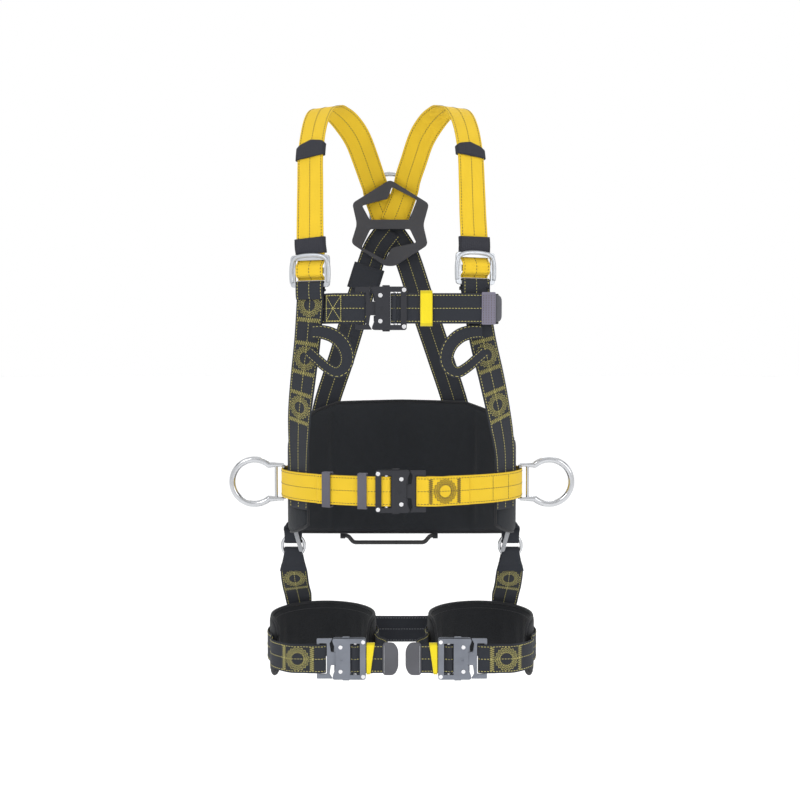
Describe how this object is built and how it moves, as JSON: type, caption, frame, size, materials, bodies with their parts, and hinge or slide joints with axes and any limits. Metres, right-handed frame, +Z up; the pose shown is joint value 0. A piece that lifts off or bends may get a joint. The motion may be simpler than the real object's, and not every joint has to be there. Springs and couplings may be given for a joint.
{
  "type": "safety harness",
  "caption": "Full-body fall-arrest harness with shoulder, chest and leg straps, padded work-positioning belt, attachment rings and quick-release buckles.",
  "frame": {"origin": "on the waist's centre plane, at the height where the shoulder webbing rests on the wearer, midway between front and back", "axes": "+X to the viewer's right facing the wearer's chest, +Y towards the wearer's back, +Z up"},
  "size_m": [0.5586, 0.2695, 0.9143],
  "materials": {
    "yellow_webbing": "woven polyester webbing",
    "black_webbing": "woven polyester webbing",
    "pad_fabric": "knitted mesh over foam",
    "black_elastic": "woven elastic",
    "yellow_elastic": "woven elastic",
    "grey_rubber": "matt moulded",
    "grey_plastic": "fine moulded grain",
    "black_plastic": "satin moulded",
    "bright_steel": "bright plated forging",
    "black_coated_steel": "black satin coating",
    "grey_steel": "satin blue-grey plating",
    "plain_steel": "satin"
  },
  "bodies": {
    "harness_webbing": {"adjuster_left": "bright_steel", "adjuster_right": "bright_steel", "back_strap_sleeve": "black_webbing", "back_straps": "black_webbing", "belt_buckle_plates": "black_coated_steel", "belt_strap_back": "yellow_webbing", "belt_strap_left": "yellow_webbing", "belt_strap_right": "yellow_webbing", "chest_buckle_plates": "black_coated_steel", "chest_end_tab": "grey_plastic", "chest_strap_left": "black_webbing", "chest_strap_right": "black_webbing", "dorsal_plate": "black_plastic", "gear_loop_tabs": "black_webbing", "hip_straps": "black_webbing", "lumbar_pad": "pad_fabric", "shoulder_keepers": "black_elastic", "shoulder_patches": "black_elastic", "shoulder_strap_left": "yellow_webbing", "shoulder_strap_right": "yellow_webbing", "torso_buckle_bars": "plain_steel", "torso_buckle_rivets": "plain_steel", "torso_buckle_springs": "plain_steel", "torso_straps": "black_webbing"},
    "leg_assembly": {"leg_risers": "black_webbing", "leg_pads": "pad_fabric", "leg_straps": "black_webbing", "leg_strap_tips": "grey_plastic", "thigh_strap": "black_webbing", "left_leg_buckle_plates": "grey_steel", "right_leg_buckle_plates": "grey_steel", "leg_buckle_bars": "plain_steel", "leg_buckle_rivets": "plain_steel", "leg_buckle_springs": "plain_steel"},
    "dorsal_d_ring": {"dorsal_d_ring": "bright_steel"},
    "side_d_ring_left": {"side_d_ring_left": "bright_steel"},
    "side_d_ring_right": {"side_d_ring_right": "bright_steel"},
    "hip_ring_left": {"hip_ring_left": "bright_steel"},
    "hip_ring_right": {"hip_ring_right": "bright_steel"},
    "gear_loop": {"gear_loop": "grey_rubber"},
    "chest_loop_left": {"chest_loop_left": "black_webbing"},
    "chest_loop_right": {"chest_loop_right": "black_webbing"},
    "chest_keeper": {"chest_keeper": "yellow_elastic"},
    "belt_keeper_outer": {"belt_keeper_outer": "grey_rubber"},
    "belt_keeper_inner": {"belt_keeper_inner": "grey_rubber"},
    "left_leg_keeper": {"left_leg_keeper": "yellow_elastic"},
    "right_leg_keeper": {"right_leg_keeper": "yellow_elastic"},
    "chest_tongue": {"chest_tongue": "black_coated_steel"},
    "chest_lever_upper": {"chest_lever_upper": "plain_steel"},
    "chest_lever_lower": {"chest_lever_lower": "plain_steel"},
    "belt_tongue": {"belt_tongue": "black_coated_steel"},
    "belt_lever_upper": {"belt_lever_upper": "plain_steel"},
    "belt_lever_lower": {"belt_lever_lower": "plain_steel"},
    "left_leg_tongue": {"left_leg_tongue": "grey_steel"},
    "left_leg_lever_upper": {"left_leg_lever_upper": "plain_steel"},
    "left_leg_lever_lower": {"left_leg_lever_lower": "plain_steel"},
    "right_leg_tongue": {"right_leg_tongue": "grey_steel"},
    "right_leg_lever_upper": {"right_leg_lever_upper": "plain_steel"},
    "right_leg_lever_lower": {"right_leg_lever_lower": "plain_steel"}
  },
  "joints": [
    {"name": "dorsal_ring_fold", "type": "hinge", "parent": "harness_webbing", "child": "dorsal_d_ring", "pos_m": [-0.02, 0.1126, -0.171], "axis": [1, 0, 0], "range_deg": [-60, 0]},
    {"name": "side_ring_swing_left", "type": "hinge", "parent": "harness_webbing", "child": "side_d_ring_left", "pos_m": [-0.1903, -0.01, -0.6], "axis": [0, 0, 1], "range_deg": [-45, 45]},
    {"name": "side_ring_swing_right", "type": "hinge", "parent": "harness_webbing", "child": "side_d_ring_right", "pos_m": [0.1903, -0.01, -0.6], "axis": [0, 0, 1], "range_deg": [-45, 45]},
    {"name": "hip_ring_turn_left", "type": "hinge", "parent": "harness_webbing", "child": "hip_ring_left", "pos_m": [-0.18, 0.025, -0.711], "axis": [0, 1, 0], "continuous": true},
    {"name": "hip_ring_turn_right", "type": "hinge", "parent": "harness_webbing", "child": "hip_ring_right", "pos_m": [0.18, 0.025, -0.711], "axis": [0, 1, 0], "continuous": true},
    {"name": "leg_swing", "type": "hinge", "parent": "harness_webbing", "child": "leg_assembly", "pos_m": [0, 0.025, -0.7265], "axis": [1, 0, 0], "range_deg": [-20, 20]},
    {"name": "gear_loop_swing", "type": "hinge", "parent": "harness_webbing", "child": "gear_loop", "pos_m": [-0.022, 0.101, -0.708], "axis": [1, 0, 0], "range_deg": [-50, 50]},
    {"name": "chest_loop_lift_left", "type": "hinge", "parent": "harness_webbing", "child": "chest_loop_left", "pos_m": [-0.136, -0.1276, -0.39], "axis": [0, 0, 1], "range_deg": [-35, 0]},
    {"name": "chest_loop_lift_right", "type": "hinge", "parent": "harness_webbing", "child": "chest_loop_right", "pos_m": [0.1206, -0.1276, -0.39], "axis": [0, 0, 1], "range_deg": [0, 35]},
    {"name": "chest_keeper_slide", "type": "slide", "parent": "harness_webbing", "child": "chest_keeper", "axis": [1, 0, 0], "range_m": [-0.01, 0.01]},
    {"name": "belt_keeper_outer_slide", "type": "slide", "parent": "harness_webbing", "child": "belt_keeper_outer", "axis": [0.9121, -0.41, 0], "range_m": [-0.005, 0.005]},
    {"name": "belt_keeper_inner_slide", "type": "slide", "parent": "harness_webbing", "child": "belt_keeper_inner", "axis": [0.9805, -0.1966, 0], "range_m": [-0.005, 0.005]},
    {"name": "left_leg_keeper_slide", "type": "slide", "parent": "leg_assembly", "child": "left_leg_keeper", "axis": [1, 0, 0], "range_m": [0, 0.005]},
    {"name": "right_leg_keeper_slide", "type": "slide", "parent": "leg_assembly", "child": "right_leg_keeper", "axis": [-1, 0, 0], "range_m": [0, 0.005]},
    {"name": "chest_tongue_release", "type": "slide", "parent": "harness_webbing", "child": "chest_tongue", "axis": [-1, 0, 0], "range_m": [0, 0.007]},
    {"name": "chest_lever_upper_press", "type": "hinge", "parent": "harness_webbing", "child": "chest_lever_upper", "pos_m": [-0.032, -0.134, -0.307], "axis": [0, 1, 0], "range_deg": [0, 12.5], "stiffness_Nm_per_rad": 0.15},
    {"name": "chest_lever_lower_press", "type": "hinge", "parent": "harness_webbing", "child": "chest_lever_lower", "pos_m": [-0.032, -0.134, -0.345], "axis": [0, 1, 0], "range_deg": [-12.5, 0], "stiffness_Nm_per_rad": 0.15},
    {"name": "belt_tongue_release", "type": "slide", "parent": "harness_webbing", "child": "belt_tongue", "axis": [1, 0, 0], "range_m": [0, 0.007]},
    {"name": "belt_lever_upper_press", "type": "hinge", "parent": "harness_webbing", "child": "belt_lever_upper", "pos_m": [-0.001, -0.1225, -0.581], "axis": [0, 1, 0], "range_deg": [-12.5, 0], "stiffness_Nm_per_rad": 0.15},
    {"name": "belt_lever_lower_press", "type": "hinge", "parent": "harness_webbing", "child": "belt_lever_lower", "pos_m": [-0.001, -0.1225, -0.619], "axis": [0, 1, 0], "range_deg": [0, 12.5], "stiffness_Nm_per_rad": 0.15},
    {"name": "left_leg_tongue_release", "type": "slide", "parent": "leg_assembly", "child": "left_leg_tongue", "axis": [-1, 0, 0], "range_m": [0, 0.007]},
    {"name": "left_leg_lever_upper_press", "type": "hinge", "parent": "leg_assembly", "child": "left_leg_lever_upper", "pos_m": [-0.095, -0.09, -0.846], "axis": [0, 1, 0], "range_deg": [0, 12.5], "stiffness_Nm_per_rad": 0.15},
    {"name": "left_leg_lever_lower_press", "type": "hinge", "parent": "leg_assembly", "child": "left_leg_lever_lower", "pos_m": [-0.095, -0.09, -0.884], "axis": [0, 1, 0], "range_deg": [-12.5, 0], "stiffness_Nm_per_rad": 0.15},
    {"name": "right_leg_tongue_release", "type": "slide", "parent": "leg_assembly", "child": "right_leg_tongue", "axis": [1, 0, 0], "range_m": [0, 0.007]},
    {"name": "right_leg_lever_upper_press", "type": "hinge", "parent": "leg_assembly", "child": "right_leg_lever_upper", "pos_m": [0.095, -0.09, -0.846], "axis": [0, 1, 0], "range_deg": [-12.5, 0], "stiffness_Nm_per_rad": 0.15},
    {"name": "right_leg_lever_lower_press", "type": "hinge", "parent": "leg_assembly", "child": "right_leg_lever_lower", "pos_m": [0.095, -0.09, -0.884], "axis": [0, 1, 0], "range_deg": [0, 12.5], "stiffness_Nm_per_rad": 0.15}
  ],
  "couplings": [
    {"joint": "chest_lever_upper_press", "follows": "chest_tongue_release", "rad_per_m": 30},
    {"joint": "chest_lever_lower_press", "follows": "chest_tongue_release", "rad_per_m": -30},
    {"joint": "belt_lever_upper_press", "follows": "belt_tongue_release", "rad_per_m": -30},
    {"joint": "belt_lever_lower_press", "follows": "belt_tongue_release", "rad_per_m": 30},
    {"joint": "left_leg_lever_upper_press", "follows": "left_leg_tongue_release", "rad_per_m": 30},
    {"joint": "left_leg_lever_lower_press", "follows": "left_leg_tongue_release", "rad_per_m": -30},
    {"joint": "right_leg_lever_upper_press", "follows": "right_leg_tongue_release", "rad_per_m": -30},
    {"joint": "right_leg_lever_lower_press", "follows": "right_leg_tongue_release", "rad_per_m": 30}
  ]
}
